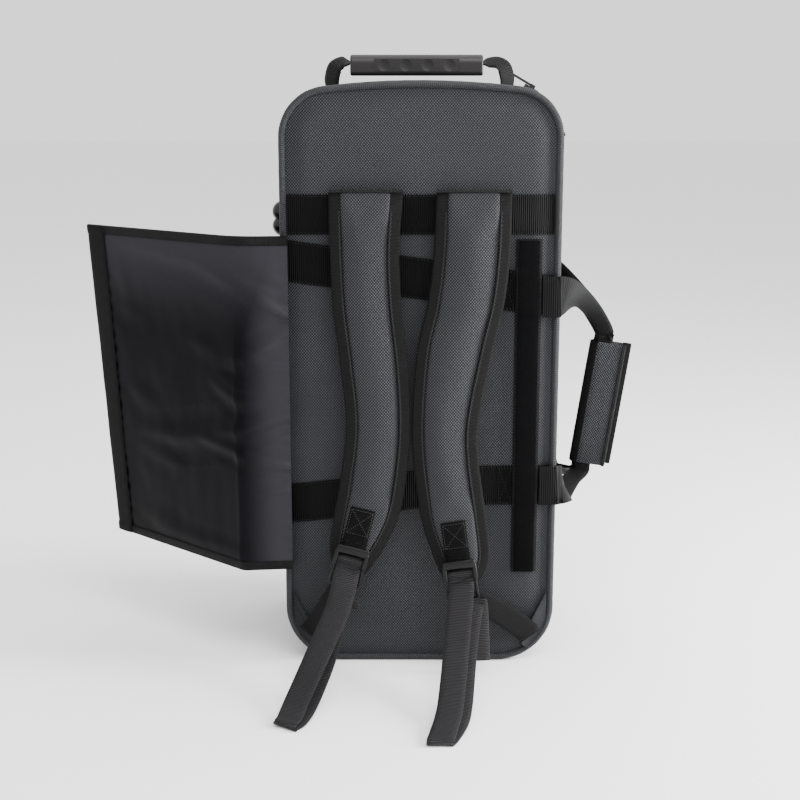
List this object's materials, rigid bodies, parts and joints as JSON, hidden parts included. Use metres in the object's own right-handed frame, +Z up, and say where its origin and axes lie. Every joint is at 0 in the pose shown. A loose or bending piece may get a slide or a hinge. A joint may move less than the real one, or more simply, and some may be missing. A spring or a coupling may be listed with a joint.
{
  "type": "trumpet case",
  "caption": "Upright soft-shell trumpet case with zipped hinged lid, backpack straps, side storage flap, moulded bed, top grip and wrapped side handle.",
  "frame": {"origin": "centre of the case's flat bottom end, on the back shell", "axes": "+Z up, +X to the right seen from the back panel, -Y out of the back panel with the shoulder straps, +Y out of the lid"},
  "size_m": [0.5612, 0.4046, 0.604],
  "materials": {
    "case_cloth": "ballistic nylon, matt",
    "piping_cloth": "woven cord cover, matt",
    "black_webbing": "ribbed webbing",
    "pad_binding_cloth": "ribbed binding tape",
    "pad_cloth": "ballistic nylon, matt",
    "flap_lining": "smooth nylon, satin",
    "fastening_strip": "hook and loop pile",
    "zipper_tape": "woven tape",
    "bed_plush": "plush over foam",
    "buckle_plastic": "gloss",
    "zipper_metal": "black gloss lacquer",
    "grip_rubber": "satin",
    "bumper_rubber": "gloss"
  },
  "bodies": {
    "case_back": {"back_shell": "case_cloth", "back_piping": "piping_cloth", "back_zipper_tape": "zipper_tape", "hinge_strip_back": "black_webbing", "hinge_fabric": "black_webbing", "back_foot_upper": "bumper_rubber", "back_foot_lower": "bumper_rubber", "top_band": "black_webbing", "upper_handle_band": "black_webbing", "lower_handle_band": "black_webbing", "loop_strip": "fastening_strip", "corner_patch_left": "black_webbing", "corner_patch_right": "black_webbing", "anchor_webbing_left": "black_webbing", "anchor_webbing_right": "black_webbing", "instrument_bed": "bed_plush", "top_anchor_left": "black_webbing", "top_anchor_right": "black_webbing", "top_loop_left": "black_webbing", "top_loop_right": "black_webbing", "side_handle_back": "black_webbing"},
    "lid": {"lid_shell": "case_cloth", "lid_piping": "piping_cloth", "lid_zipper_tape": "zipper_tape", "hinge_strip_lid": "black_webbing", "lid_foot_upper": "bumper_rubber", "lid_foot_lower": "bumper_rubber", "lid_pad": "bed_plush", "front_pocket": "case_cloth", "pocket_zipper": "zipper_tape", "side_handle_lid": "black_webbing"},
    "pocket_pull": {"pocket_slider": "zipper_metal"},
    "top_handle": {"top_grip": "grip_rubber", "grip_inset_back": "grip_rubber", "grip_inset_front": "grip_rubber"},
    "side_grip": {"grip_wrap": "case_cloth"},
    "grip_leaf": {"grip_wrap_leaf": "case_cloth"},
    "zip_slider_low": {"slider_low": "zipper_metal"},
    "zip_pull_low": {"pull_low": "zipper_metal"},
    "zip_slider_high": {"slider_high": "zipper_metal"},
    "zip_pull_high": {"pull_high": "zipper_metal"},
    "flap_base": {"flap_side": "flap_lining", "flap_fold_crease": "flap_lining"},
    "flap_middle": {"flap_panel": "flap_lining", "flap_edge_crease": "flap_lining"},
    "flap_tip": {"flap_edge": "flap_lining", "hook_strip": "fastening_strip"},
    "strap_left": {"strap_pad_left": "pad_cloth", "pad_binding_left": "pad_binding_cloth", "strap_tab_left": "black_webbing"},
    "strap_right": {"strap_pad_right": "pad_cloth", "pad_binding_right": "pad_binding_cloth", "strap_tab_right": "black_webbing"},
    "strap_end_left": {"buckle_left": "buckle_plastic", "strap_tail_left": "black_webbing"},
    "strap_end_right": {"buckle_right": "buckle_plastic", "strap_tail_right": "black_webbing"}
  },
  "joints": [
    {"name": "lid_hinge", "type": "hinge", "parent": "case_back", "child": "lid", "pos_m": [-0.1388, 0.017, 0.2945], "axis": [0, 0, -1], "range_deg": [-140, 0], "deforming": ["hinge_fabric", "side_handle_lid"]},
    {"name": "pocket_zip", "type": "slide", "parent": "lid", "child": "pocket_pull", "axis": [1, 0, 0], "range_m": [0, 0.135]},
    {"name": "top_handle_swing", "type": "hinge", "parent": "case_back", "child": "top_handle", "pos_m": [-0.004, -0.04, 0.579], "axis": [1, 0, 0], "range_deg": [-25, 25], "deforming": ["top_loop_left", "top_loop_right"]},
    {"name": "side_grip_swing", "type": "hinge", "parent": "case_back", "child": "side_grip", "pos_m": [0.137, 0.017, 0.246], "axis": [0, 0, 1], "range_deg": [-25, 25], "deforming": ["side_handle_back"]},
    {"name": "grip_leaf_opening", "type": "hinge", "parent": "side_grip", "child": "grip_leaf", "pos_m": [0.17028, 0.0216, 0.18282], "axis": [0.1472, 0, 0.9891], "range_deg": [0, 120]},
    {"name": "zip_low_run", "type": "hinge", "parent": "case_back", "child": "zip_slider_low", "pos_m": [0.087, 0.017, 0.5267], "axis": [0, 1, 0], "range_deg": [-10, 24]},
    {"name": "zip_low_pull", "type": "hinge", "parent": "zip_slider_low", "child": "zip_pull_low", "pos_m": [0.13679, 0.017, 0.54886], "axis": [0, -1, 0], "range_deg": [0, 140]},
    {"name": "zip_high_run", "type": "hinge", "parent": "case_back", "child": "zip_slider_high", "pos_m": [0.087, 0.017, 0.5267], "axis": [0, 1, 0], "range_deg": [-24, 0]},
    {"name": "zip_high_pull", "type": "hinge", "parent": "zip_slider_high", "child": "zip_pull_high", "pos_m": [0.11425, 0.017, 0.57389], "axis": [0, 1, 0], "range_deg": [0, 140]},
    {"name": "flap_root", "type": "hinge", "parent": "case_back", "child": "flap_base", "pos_m": [-0.128, -0.0973, 0.2675], "axis": [0, 0, -1], "range_deg": [-93, 6]},
    {"name": "flap_fold", "type": "hinge", "parent": "flap_base", "child": "flap_middle", "pos_m": [-0.17571, -0.10257, 0.2675], "axis": [0, 0, -1], "range_deg": [-119.6, 7.8], "deforming": ["flap_fold_crease"]},
    {"name": "flap_edge_fold", "type": "hinge", "parent": "flap_middle", "child": "flap_tip", "pos_m": [-0.29623, -0.0067, 0.2675], "axis": [0, 0, -1], "range_deg": [-34.1, 2.3], "deforming": ["flap_edge_crease"]},
    {"name": "strap_left_swing", "type": "hinge", "parent": "case_back", "child": "strap_left", "pos_m": [-0.052, -0.09705, 0.478], "axis": [-1, 0, 0], "range_deg": [0, 15], "deforming": ["anchor_webbing_left"]},
    {"name": "strap_end_left_tilt", "type": "hinge", "parent": "strap_left", "child": "strap_end_left", "pos_m": [-0.0666, -0.12726, 0.12903], "axis": [-0.9681, 0.0116, 0.2501], "range_deg": [0, 20]},
    {"name": "strap_right_swing", "type": "hinge", "parent": "case_back", "child": "strap_right", "pos_m": [0.05, -0.09705, 0.478], "axis": [-1, 0, 0], "range_deg": [0, 15], "deforming": ["anchor_webbing_right"]},
    {"name": "strap_end_right_tilt", "type": "hinge", "parent": "strap_right", "child": "strap_end_right", "pos_m": [0.0377, -0.1279, 0.11504], "axis": [-0.9903, -0.0065, -0.139], "range_deg": [0, 20]}
  ],
  "couplings": [
    {"joint": "flap_fold", "follows": "flap_root", "ratio": 1.285},
    {"joint": "flap_edge_fold", "follows": "flap_root", "ratio": 0.366}
  ]
}
